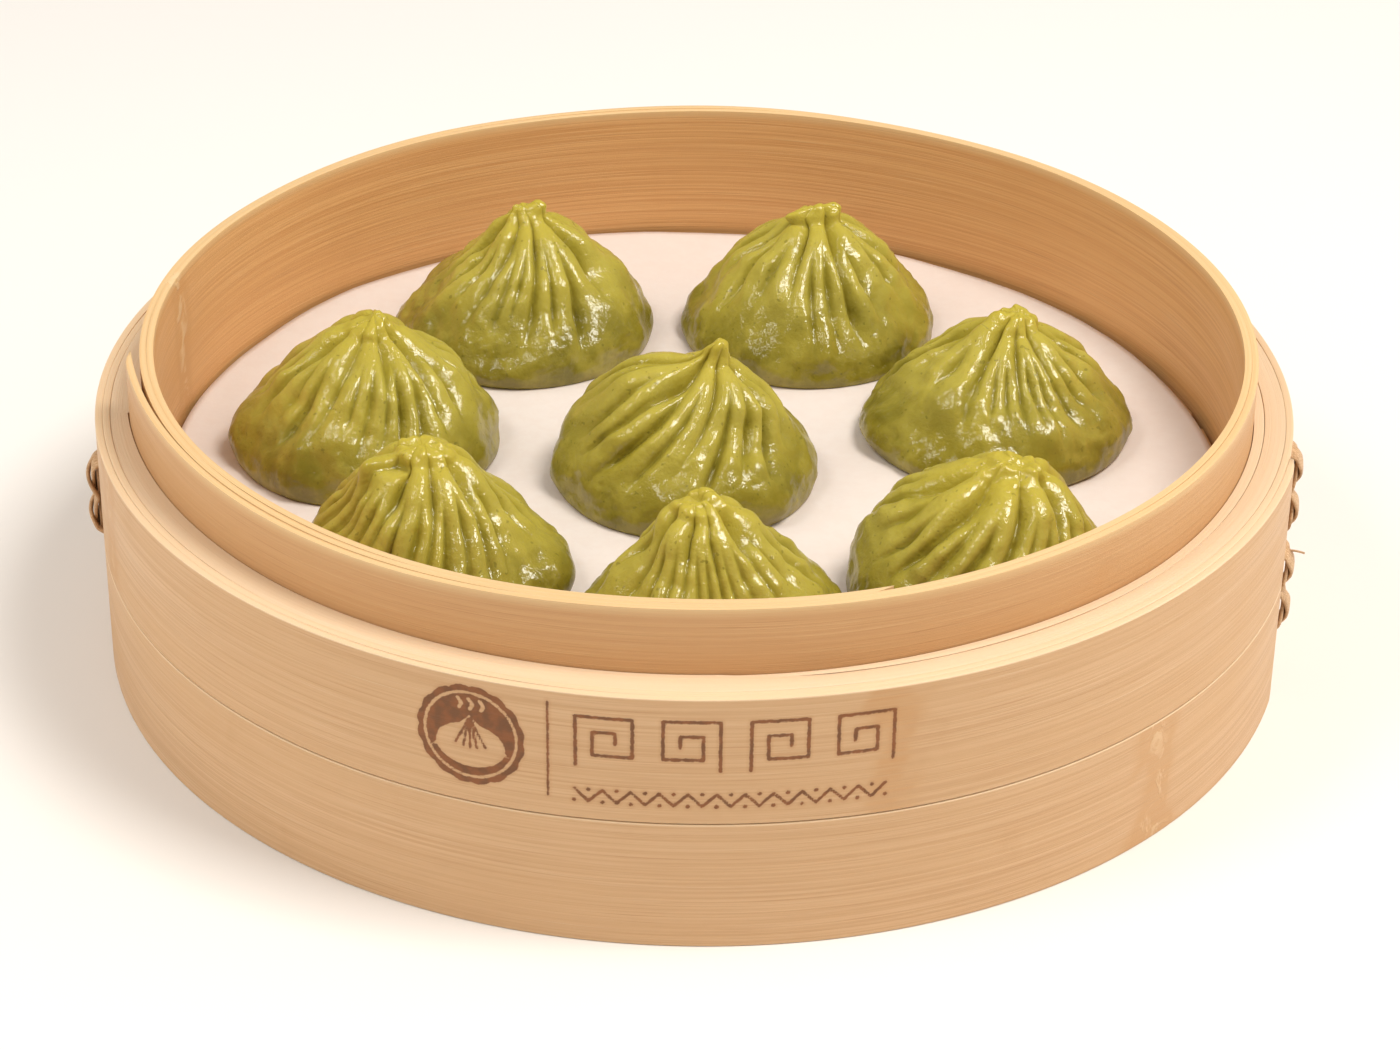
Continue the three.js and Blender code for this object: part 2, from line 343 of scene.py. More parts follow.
def strip_attributes(points, section, seed):
    """Grain: place along the strip, and way round its section. Cut: 1 on its sawn edges.
    Outside: 1 on its outward side."""
    middle = points[len(points) // 2]
    step = np.linalg.norm(np.diff(middle, axis=0, prepend=middle[:1]), axis=1)
    round_section = np.broadcast_to(np.cumsum(step), points.shape[:2])
    grain = np.stack([points[..., 0], points[..., 1], round_section + 37.0 * seed], -1)
    share, _, level, offset = section.T
    on_edge = (np.abs(offset) < SAWN) & ((level == 0) | (level == 1))
    cut = np.broadcast_to(on_edge.astype(float), points.shape[:2])
    outside = np.broadcast_to(share, points.shape[:2])
    return {"grain": grain.reshape(-1, 3), "cut": cut.ravel(), "outside": outside.ravel()}


def make_strip(name, node, slot, points, section, seed, closed=False, **extra):
    rows, columns = points.shape[:2]
    faces = grid_faces(rows, columns, closed, True)
    if not closed:
        faces += [tuple(range(columns)), tuple(range((rows - 1) * columns, rows * columns))]
    attributes = strip_attributes(points, section, seed)
    for key, values in extra.items():
        attributes[key] = values.ravel()
    make_piece(name, points.reshape(-1, 3), faces, [node], slot, attributes)


def ring_frame(azimuth, radius):
    outward = toward(azimuth)
    return outward * radius[:, None], outward


def unevenness(azimuth, amount, seed):
    """How far a hand-made strip strays along its run: a smooth field of the azimuth."""
    return amount * ripples(toward(azimuth, azimuth / 700), 0.9, seed)


def scar_field(points, azimuth, centres, width=2.4):
    """Node scars: bands across the strip with ragged edges."""
    ragged = azimuth[:, None] + 0.9 * ripples(points, 14, 5) + 0.4 * ripples(points, 4, 6)
    return sum(strength * bell(angle_off(ragged, centre), width) for centre, strength in centres)


# The rim: its strip winds clockwise from its inner end and leaves its outer end sprung away.
RIM = dict(inner=94.0, pitch=1.2, start=-71.0, turned=2 * 360 + 101.0, flap=30.0, lift=1.4)
LAYER_GAP = 0.01  # between one turn of a strip and the next
BAND = dict(outer=105.6, pitch=1.3, start=-14.5, turned=360 + 200.0)
FILLER = dict(inner=99.38, close=97.2, clearance=0.12)
SHIM = dict(outer=99.3, thin_end=98.5, first=-87.0, last=150.0, taper=20.0)
END_CUT = 2.5  # degrees over which a strip's end is shaved thinner
# Where cane nodes scar the strips: azimuth and strength, up to 1.
RIM_SCARS = [(170, 1.0)]
BAND_SCARS = {"outer_band_upper": [(-72.5, 0.48), (70, 1.0), (200, 0.8)],
              "outer_band_lower": [(-44, 1.0), (120, 0.7)]}


def rim_radius(swept):
    """Inner radius of the rim's strip, this many degrees along it: its last part springs away."""
    sprung = np.maximum(0, swept - (RIM["turned"] - RIM["flap"])) / RIM["flap"]
    return RIM["inner"] + RIM["pitch"] * swept / 360 + RIM["lift"] * sprung ** 2


def rim_outside(azimuth):
    """Radius of the outer side of the rim's outermost turn."""
    swept = (RIM["start"] - azimuth) % 360 + 360
    swept = np.where(swept + 360 <= RIM["turned"], swept + 360, swept)
    return rim_radius(swept) + RIM["pitch"]


def rim_strip():
    low, high = box_mm("inner_hoop")
    swept = np.linspace(0, RIM["turned"], int(RIM["turned"] * 0.8 * FINE))
    azimuth = RIM["start"] - swept
    inner, outward = ring_frame(azimuth, rim_radius(swept))
    full = RIM["pitch"] - LAYER_GAP
    shaved = smoothstep(-0.6, END_CUT, swept) * smoothstep(-0.6, END_CUT, RIM["turned"] - swept)
    layer = np.floor(swept / 360)
    top = high[2] - 0.25 + unevenness(azimuth, 0.16, 1) + layer * unevenness(azimuth, 0.05, 4)
    section = strip_section(10, 10, 0.04)
    points = strip_points(inner, outward, full * shaved, low[2], top, section)
    make_strip("rim_strip", "inner_hoop", "rim_bamboo", points, section, 1,
               scar=scar_field(points, azimuth, RIM_SCARS))


def band_strip(name, node, seed):
    """One of the two bands. The upper one carries the burnt mark, on a finer stretch of mesh."""
    low, high = box_mm(node)
    at_top = node == "outer_band_upper"
    coarse = np.arange(0, BAND["turned"], 1.25 / FINE)
    swept = np.append(coarse, BAND["turned"])
    if at_top:
        first, last = (BAND["start"] - azimuth for azimuth in (MARK["right"], MARK["left"]))
        fine = np.arange(first, last, MARK["step"] / FINE)
        swept = np.sort(np.concatenate([swept[(swept < first) | (swept > last)], fine]))
    azimuth = BAND["start"] - swept
    radius = BAND["outer"] - BAND["pitch"] * swept / 360 - BAND["pitch"] + LAYER_GAP
    inner, outward = ring_frame(azimuth, radius)
    shaved = smoothstep(-3.0, END_CUT, swept) * smoothstep(-0.6, END_CUT, BAND["turned"] - swept)
    outer_rows = int(56 * FINE) if at_top else 10
    section = strip_section(4, outer_rows, 0.12)
    seam = unevenness(azimuth, 0.10, 40)
    bottom = low[2] + (seam + 0.02 if at_top else 0)
    top = high[2] + (unevenness(azimuth, 0.12, seed) - 0.2 if at_top else seam + 0.06)
    points = strip_points(inner, outward, (BAND["pitch"] - LAYER_GAP) * shaved, bottom, top,
                          section)
    extra = {"scar": scar_field(points, azimuth, BAND_SCARS[node])}
    if at_top:
        on_outside = np.broadcast_to(section[:, 0] == 1, points.shape[:2])
        burnt = np.maximum(mark_field(azimuth[:, None], points[..., 2]) + 1, 0)
        extra["burn"] = np.where(on_outside & (swept < 360)[:, None], burnt, 0.0)
    make_strip(name, node, "band_bamboo", points, section, seed, **extra)


def band_inside(azimuth):
    """Radius of the inner side of the wound bands."""
    swept = (BAND["start"] - azimuth) % 360
    layers = np.where(swept < BAND["turned"] - 360, 2, 1)
    return BAND["outer"] - BAND["pitch"] * (swept / 360 + layers)


def ring_strip(name, node, slot, azimuth, radii, top, section, seed, closed=True):
    """A strip bent to a ring, from the foot of its node up. `radii` are its inner and outer."""
    low, _ = box_mm(node)
    inner, outward = ring_frame(azimuth, radii[0])
    points = strip_points(inner, outward, radii[1] - radii[0], low[2], top, section)
    make_strip(name, node, slot, points, section, seed, closed)


def filler_ring():
    """The cut hoop that fills the gap, bowed in against the rim where the shim leaves off."""
    azimuth = np.linspace(0, 360, int(420 * FINE), endpoint=False)
    around = angle_off(azimuth, 0)
    past_shim = np.maximum(SHIM["first"] - around, around - SHIM["last"])
    bowed = FILLER["inner"] + (FILLER["close"] - FILLER["inner"]) * smoothstep(-10, 6, past_shim)
    inner_radius = np.maximum(bowed, rim_outside(azimuth) + FILLER["clearance"])
    outer_radius = np.minimum(band_inside(azimuth), band_inside(azimuth - 2)) - 0.02
    top = box_mm("filler_hoop")[1][2] - 0.3 + unevenness(azimuth, 0.10, 62)
    ring_strip("filler_strip", "filler_hoop", "cut_bamboo", azimuth,
               (inner_radius, outer_radius), top, strip_section(6, 4, 0.08), 6)


def shim_ring():
    azimuth = np.linspace(SHIM["last"], SHIM["first"], int(260 * FINE))
    from_end = np.minimum(azimuth - SHIM["first"], SHIM["last"] - azimuth) / SHIM["taper"]
    outer_radius = SHIM["thin_end"] + (SHIM["outer"] - SHIM["thin_end"]) * np.minimum(from_end, 1)
    inner_radius = rim_outside(azimuth) + FILLER["clearance"]
    top = box_mm("shim_hoop")[1][2] - 0.25 + unevenness(azimuth, 0.12, 72)
    ring_strip("shim_strip", "shim_hoop", "cut_bamboo", azimuth,
               (inner_radius, outer_radius), top, strip_section(5, 5, 0.08), 7, closed=False)


def support_ring():
    high = box_mm("support_hoop")[1]
    azimuth = np.linspace(0, 360, int(300 * FINE), endpoint=False)
    inner_radius = high[0] - 1.6 + unevenness(azimuth, 0.06, 81)
    ring_strip("support_strip", "support_hoop", "floor_bamboo", azimuth,
               (inner_radius, inner_radius + 1.5), high[2], strip_section(5, 5, 0.3), 8)


# ---- Floor of the basket ----

SLAT_REACH = 93.8  # mm from the centre to a slat's ends


def floor_slat(number):
    node = f"slat_{number:02d}"
    low, high = box_mm(node)
    along = np.linspace(-1, 1, int(60 * FINE))
    bend = 0.12 * ripples(np.stack([along, 0 * along, 0 * along + number], -1), 1.5, 90 + number)
    inner = np.stack([along * 0, low[1] + 0.2 + 0 * along], -1)
    outward = np.tile([0.0, 1.0], (len(along), 1))
    section = strip_section(0, 0, 0.5)
    points = strip_points(inner, outward, high[1] - low[1] - 0.4 + bend, low[2],
                          high[2] + 0.3 * bend, section)
    points[..., 0] = along[:, None] * np.sqrt(SLAT_REACH ** 2 - points[..., 1] ** 2)
    make_strip(node + "_strip", node, "floor_bamboo", points, section, 10 + number)


def floor_crossbar(number):
    node = f"crossbar_{number}"
    low, high = box_mm(node)
    along = np.linspace(low[1], high[1], int(50 * FINE))
    inner = np.stack([low[0] + 0.1 + 0 * along, along], -1)
    outward = np.tile([1.0, 0.0], (len(along), 1))
    section = strip_section(0, 0, 1.0)
    points = strip_points(inner, outward, high[0] - low[0] - 0.2, low[2], high[2], section)
    make_strip(node + "_strip", node, "floor_bamboo", points, section, 30 + number)


# In mm: how far the damp sheet spreads past its CAD edge, over the ends of the slats, how far it
# is drawn in at the right and curls up at the back, and its thickness.
PAPER = dict(spread=1.1, drawn_in=0.4, curl=1.5, thickness=0.16)


def paper_material():
    """Steamer paper: pinkish white, faintly mottled, and darker and warmer around the dumplings,
    partly damp and partly painted contact shade at their feet.
    """
    g = Shader("liner_paper")
    place = g.place()
    damp_and_shade = g.attribute("damp_and_shade")
    pulp, cloud = g.noise(place, 420, 4, 0.6), g.noise(place, 22, 3, 0.5)
    g.colour = g.mix(g.ramp(pulp, 0.35, 0.65, 0.0, 0.3), (232, 218, 206), (226, 206, 192))
    g.lay(g.ramp(cloud, 0.35, 0.65, 0.0, 0.35), (229, 209, 196))
    # partly damp and partly painted shade: the ring round each dumpling's foot darkens and warms the
    # paper in place of its soft contact shadow
    g.lay(g.times(damp_and_shade, 0.55), (222, 184, 150))
    relief = g.bump(pulp, 0.00012, 0.4)
    g.finish(Base_Color=g.colour, Normal=relief, Roughness=g.ramp(damp_and_shade, 0, 1, 0.7, 0.45),
             Subsurface_Weight=0.15, Subsurface_Radius=(1.0, 0.8, 0.6),
             Subsurface_Scale=0.002)


def paper_sheet(feet):
    """The liner: a thin round sheet, slightly wavy, and pressed flat under the dumplings."""
    _, high = box_mm("paper_liner")
    rings, columns = int(72 * FINE), int(220 * FINE)
    share = np.linspace(0.004, 1, rings)[:, None]
    turn = 2 * np.pi * np.arange(columns)[None, :] / columns
    drawn_in = PAPER["drawn_in"] * bell(angle_off(np.degrees(turn), 15), 32)
    radius = high[0] + PAPER["spread"] - drawn_in + 0.25 * ripples(
        np.stack([np.cos(turn), np.sin(turn), 0 * turn], -1), 0.7, 51)
    x, y = share * radius * np.cos(turn), share * radius * np.sin(turn)
    flat = np.stack([x, y, 0 * x], -1)
    pressed, damp_and_shade = np.zeros_like(x), np.zeros_like(x)
    for centre, foot in feet:
        away = np.hypot(x - centre[0], y - centre[1]) - foot
        pressed = np.maximum(pressed, smoothstep(3, 0, away))
        # ring round each foot, partly damp paper and partly painted contact shade
        damp_and_shade = np.maximum(damp_and_shade, smoothstep(2.6, -1.5, away + 0.9 * ripples(flat, 7, 53)))
    wave = 0.22 * ripples(flat, 46, 52) + 0.05 * ripples(flat, 12, 54)
    edge_lift = 0.5 * smoothstep(0.93, 1.0, share) * (0.5 + 0.5 * ripples(flat, 60, 55))
    curled = smoothstep(0.87, 1.0, share) * bell(angle_off(np.degrees(turn), 98), 48)
    top = high[2] - 0.05 + (wave + edge_lift) * (1 - pressed) + PAPER["curl"] * curled
    upper = np.stack([x, y, top], -1).reshape(-1, 3)
    lower = upper - [0, 0, PAPER["thickness"]]
    count = rings * columns
    above = grid_faces(rings, columns, False, True)
    below = [tuple(count + i for i in reversed(face)) for face in above]
    last = (rings - 1) * columns
    edge = [(last + j, last + (j + 1) % columns) for j in range(columns)]
    faces = above + below + [(a, b, count + b, count + a) for a, b in edge]
    faces += [tuple(reversed(range(columns))), tuple(range(count, count + columns))]
    make_piece("paper_sheet", np.vstack([upper, lower]), faces, ["paper_liner"], "liner_paper",
               {"damp_and_shade": np.tile(damp_and_shade.ravel(), 2)})


# ---- Burnt mark ----

# A burnt ornament: a round dumpling emblem, a rule, four square scrolls and a beaded zigzag. It is
# drawn in mm to the right and mm up from the band's foot.
MARK = dict(left=-116.0, right=-71.0, step=0.18, centre=-94.0, radius=105.3)


def to_segment(x, y, a, b):
    """Distance from each point to the line from a to b."""
    ax, ay = x - a[0], y - a[1]
    bx, by = b[0] - a[0], b[1] - a[1]
    t = np.clip((ax * bx + ay * by) / (bx * bx + by * by), 0, 1)
    return np.hypot(ax - t * bx, ay - t * by)


def to_path(x, y, points):
    return np.minimum.reduce([to_segment(x, y, a, b) for a, b in zip(points, points[1:])])


def scroll_points(cx, cy, size, mirror):
    """A square spiral, from its outer end inwards."""
    corners = [(-1, -1), (-1, 1), (1, 1), (1, -0.55), (-0.4, -0.55), (-0.4, 0.4), (0.4, 0.4),
               (0.4, -0.05)]
    return [(cx + mirror * size * x, cy + size * y) for x, y in corners]


def emblem(x, y, cx, cy):
    """A burnt disc with a pleated dumpling left pale in it: millimetres inside the burning."""
    disc = 8.7 - np.hypot(x - cx, y - cy) + 0.35 * np.abs(np.sin(8 * np.arctan2(y - cy, x - cx)))
    u, v = np.abs(x - cx), y - cy
    belly = 4.9 - np.hypot(u * 0.86, (v + 1.9) * 1.25)
    shoulder = np.minimum(3.6 - v - 1.05 * u, v + 3.0)
    dumpling_shape = np.maximum(belly, shoulder)
    pleats = [(0, 0), (1.15, 0.2), (2.5, 0.5)]
    lines = [0.24 - to_path(u, v, [(0.15, 3.0), (0.5 * foot, 0.6), (foot, -2.4 + raised)])
             for foot, raised in pleats]
    steam = [0.28 - to_path(x, v, [(cx + s, 4.7), (cx + s + 0.45, 5.5), (cx + s - 0.2, 6.4)])
             for s in (-1.7, 0.1, 1.9)]
    ring = 0.22 - np.abs(np.hypot(x - cx, y - cy) - 7.6)
    pale = np.maximum.reduce([np.minimum(dumpling_shape, -np.maximum.reduce(lines)), ring] + steam)
    return np.minimum(disc, -pale)


def mark_field(azimuth, height):
    """Millimetres inside the burnt lines, negative outside them."""
    low, _ = box_mm("outer_band_upper")
    x = np.radians(azimuth - MARK["centre"]) * MARK["radius"] + 0 * height
    y = height - low[2] + 0 * azimuth
    parts = [emblem(x, y, -27.5, 12.2), 0.25 - to_path(x, y, [(-14.9, 3.6), (-14.9, 20.6)])]
    for place, mirror in ((-6.2, 1), (7.3, -1), (20.8, 1), (34.3, -1)):
        parts.append(0.33 - to_path(x, y, scroll_points(place, 14.2, 4.4, mirror)))
    wave = [(place, 4.4 + 1.1 * (-1) ** i) for i, place in enumerate(np.arange(-10.8, 39.5, 2.2))]
    parts.append(0.30 - to_path(x, y, wave))
    for i, (place, level) in enumerate(wave):
        parts.append(0.40 - np.hypot(x - place, y - (8.8 - level)))
    return np.maximum.reduce(parts)


# ---- Ties ----

def cane_material():
    g = Shader("cane")
    grain, place = g.attribute("grain", vector=True), g.place()
    fibre = g.noise(g.scaled(grain, (1.2, 14.0, 3.0)), 1.0, 3, 0.6)
    g.colour = g.mix(g.ramp(fibre, 0.35, 0.65), (186, 142, 96), (226, 190, 148))
    g.lay(g.ramp(g.noise(place, 300, 2), 0.5, 0.7, 0.0, 0.4), (140, 96, 56))
    g.finish(Base_Color=g.colour, Normal=g.bump(fibre, 0.0003, 0.6), Roughness=0.5)


TIES = {
    "tie_1": dict(azimuth=-6.5, stands=104.4, stray=0),
    "tie_2": dict(azimuth=-12.2, stands=104.4, stray=4.0),
    "tie_3": dict(azimuth=-173.5, stands=105.1, stray=0),
}
CANE = dict(width=3.4, thickness=0.7, sway=1.5, bulge=1.8, crossings=2, base=0.3, tuck=0.9)
STRANDS = ((1, 1.0), (-1, 1.0), (0, 0.0))  # the side each one starts on, its share of the bulge


def cane_outlines(path, facing, width, thickness):
    """A flat strand along a path, its broad side turned towards `facing`: one outline a row."""
    across = np.array([-1, -0.92, -0.5, 0, 0.5, 0.92, 1, 0.92, 0.5, 0, -0.5, -0.92])
    raised = np.array([0, 0.35, 0.48, 0.5, 0.48, 0.35, 0, -0.35, -0.48, -0.5, -0.48, -0.35])
    along = np.gradient(path, axis=0)
    along /= np.linalg.norm(along, axis=1, keepdims=True)
    flat = np.cross(facing, along)
    flat /= np.linalg.norm(flat, axis=1, keepdims=True)
    face = np.cross(along, flat)
    return (path[:, None, :] + flat[:, None, :] * (across * width[:, None] / 2)[..., None]
            + face[:, None, :] * (raised * thickness)[None, :, None])


def plaited_tie(node):
    """Two flat strands of cane plaited over a third, and a thin stray end on one tie."""
    place = TIES[node]
    low, high = box_mm(node)
    outward, sideways = toward(place["azimuth"], 0), toward(place["azimuth"] + 90, 0)
    upward = np.array([0, 0, 1.0])
    t = np.linspace(0, 1, int(70 * FINE))
    level = low[2] + (high[2] - low[2]) * t
    wave = np.pi * CANE["crossings"] * t
    tuck = CANE["tuck"] * (smoothstep(0.06, 0.0, t) + smoothstep(0.94, 1.0, t))
    strands = []
    for side, share in STRANDS:
        loop = share * CANE["bulge"] * (0.75 + 0.25 * side * np.sin(wave))
        stands = place["stands"] + CANE["base"] + loop * np.abs(np.sin(wave)) ** 0.7 - tuck
        sways = side * CANE["sway"] * np.cos(wave)
        path = outward * stands[:, None] + sideways * sways[:, None] + upward * level[:, None]
        width = CANE["width"] * (1 + 0.1 * np.sin(9 * t + side))
        strands.append(cane_outlines(path, outward, width, CANE["thickness"]))
    if place["stray"]:
        bent = 0.3 * np.sin(3 * t)[:, None] * upward
        out = place["stands"] + place["stray"] * t
        path = outward * out[:, None] + bent + [0, 0, high[2] - 1.2]
        strands.append(cane_outlines(path, upward, 0.55 - 0.2 * t, 0.3))

    columns = strands[0].shape[1]
    points, faces, grain = [], [], []
    rows = len(t)
    for number, outlines in enumerate(strands):
        first = number * rows * columns
        faces += [tuple(first + i for i in quad) for quad in grid_faces(rows, columns, False, True)]
        faces += [tuple(range(first, first + columns)),
                  tuple(range(first + (rows - 1) * columns, first + rows * columns))]
        points.append(outlines.reshape(-1, 3))
        grain += [(40 * v, 0.22 * min(i, columns - i), number) for v in t for i in range(columns)]
    make_piece(node + "_cane", np.vstack(points), faces, [node], "cane",
               {"grain": np.array(grain)})


# ---- Dough ----

def dough_material():
    """Wet green dough: olive skin, yellower folds and tip, dark filling showing low down, and
    painted shade darkening it towards the foot and in the creases.
    """
    g = Shader("dough")
    place = g.place()
    fold, rise = g.attribute("fold"), g.attribute("rise")
    olive, deep = (154, 140, 45), (103, 94, 21)
    straw, tip = (192, 177, 83), (183, 165, 62)
    mottle = g.noise(place, 150, 4, 0.6)
    filling = g.noise(place, 62, 3, 0.55)
    # painted shade: the skin darkens towards the foot, where less light falls
    g.colour = g.mix(g.ramp(rise, 0.55, 0.08, 0.0, 0.85), olive, (118, 105, 22))
    low_down = g.times(g.ramp(filling, 0.42, 0.62), g.ramp(rise, 0.85, 0.35))
    g.lay(g.times(low_down, 0.7), deep)
    g.lay(g.ramp(mottle, 0.38, 0.70, 0.0, 0.5), (178, 164, 70))
    ridge = g.times(g.ramp(fold, 0.55, 1.0), g.ramp(rise, 0.15, 0.7))
    g.lay(g.times(ridge, 0.5), straw)
    # painted shade: the creases between the pleats are darkened where shade falls in them
    crease = g.times(g.ramp(fold, 0.5, 0.05), g.ramp(rise, 0.15, 0.5))
    g.lay(g.times(crease, 0.35), (148, 131, 30))
    g.lay(g.ramp(rise, 0.72, 0.97, 0.0, 0.75), tip)
    speck = g.ramp(g.noise(place, 900, 1), 0.69, 0.75)
    g.lay(g.times(speck, 0.4), (84, 80, 24))

    pebble = g.noise(place, 1300, 3, 0.6)
    wetness = g.noise(place, 300, 4, 0.6)
    grain = g.bump(pebble, 0.00018, 0.6)
    film = g.bump(wetness, 0.0007, 0.55, Normal=grain)
    g.finish(
        Base_Color=g.colour, Normal=film, Coat_Normal=film,
        Roughness=g.ramp(wetness, 0.3, 0.7, 0.4, 0.6), IOR=1.35,
        Subsurface_Weight=0.3, Subsurface_Radius=(1.0, 0.85, 0.25), Subsurface_Scale=0.0016,
        Specular_IOR_Level=0.2,
        Coat_Weight=0.55, Coat_Roughness=0.05, Coat_IOR=1.8)


# Half outlines from the foot to the neck, as fractions of radius and height: a tent's straight
# flank and a dome's full one. A dumpling blends the two, differently on each side.
TENT = [(0.965, 0.0), (0.99, 0.03), (1.0, 0.10), (0.96, 0.20), (0.87, 0.31), (0.75, 0.43),
        (0.61, 0.56), (0.46, 0.69), (0.32, 0.80), (0.20, 0.89), (0.11, 0.945)]
DOME = [(0.965, 0.0), (0.99, 0.03), (1.0, 0.12), (0.99, 0.24), (0.94, 0.36), (0.86, 0.48),
        (0.75, 0.60), (0.60, 0.71), (0.42, 0.81), (0.24, 0.885), (0.11, 0.94)]
NECK = 0.86  # share of the rows below the neck; the rest make the tip
TIP_SHARE = (0.84, 0.97)  # shares of the height between which the flank turns into the tip
PLEAT_DEPTH = 2.5  # mm, of the deepest crease
PLEAT_GIRTH_SHARE = 0.36  # deepest crease as a share of the fold's width
BACK_SPACING = 19.0  # degrees between creases where none are listed
GATHER = 3  # every how many pleats make one ridge at the top

